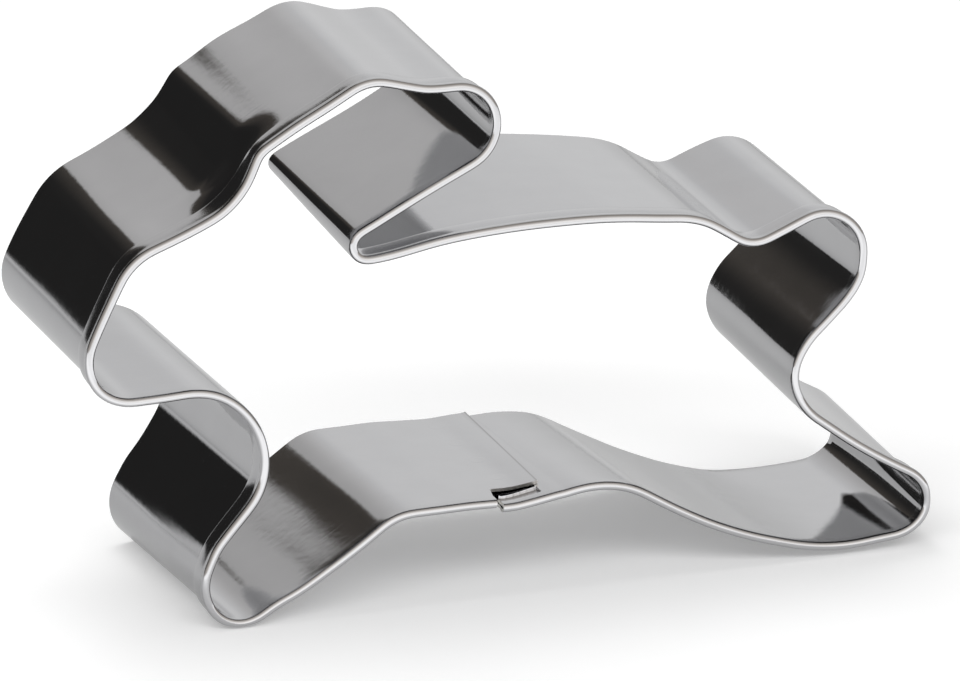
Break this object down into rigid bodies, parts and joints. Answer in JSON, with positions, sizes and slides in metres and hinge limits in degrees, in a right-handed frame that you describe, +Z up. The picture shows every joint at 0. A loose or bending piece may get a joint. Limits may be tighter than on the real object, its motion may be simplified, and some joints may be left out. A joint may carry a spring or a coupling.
{
  "type": "cookie cutter",
  "caption": "Open cookie cutter: one thin steel strip bent to the outline of a crouching small animal, with a folded rim, a plain cutting edge and a lapped, spot-welded seam.",
  "frame": {"origin": "on the floor that the cutter stands on, under the middle of its bounding box", "axes": "+X from the nose to the hind foot, +Y from the folded rim to the cutting edge, +Z up from the feet to the ear"},
  "size_m": [0.0816, 0.025, 0.0504],
  "materials": {
    "polished_sheet": "bright rolled stainless steel, near mirror, with fine handling marks",
    "folded_rim": "bright rolled stainless steel, a little softer where it is folded",
    "weld_nugget": "bright steel, faintly dull where the welding tip pressed"
  },
  "bodies": {
    "root": {"cutting_wall": "polished_sheet", "rolled_rim": "folded_rim", "rim_tab": "folded_rim", "lap_tongue": "polished_sheet", "spot_welds": "weld_nugget"}
  },
  "joints": []
}
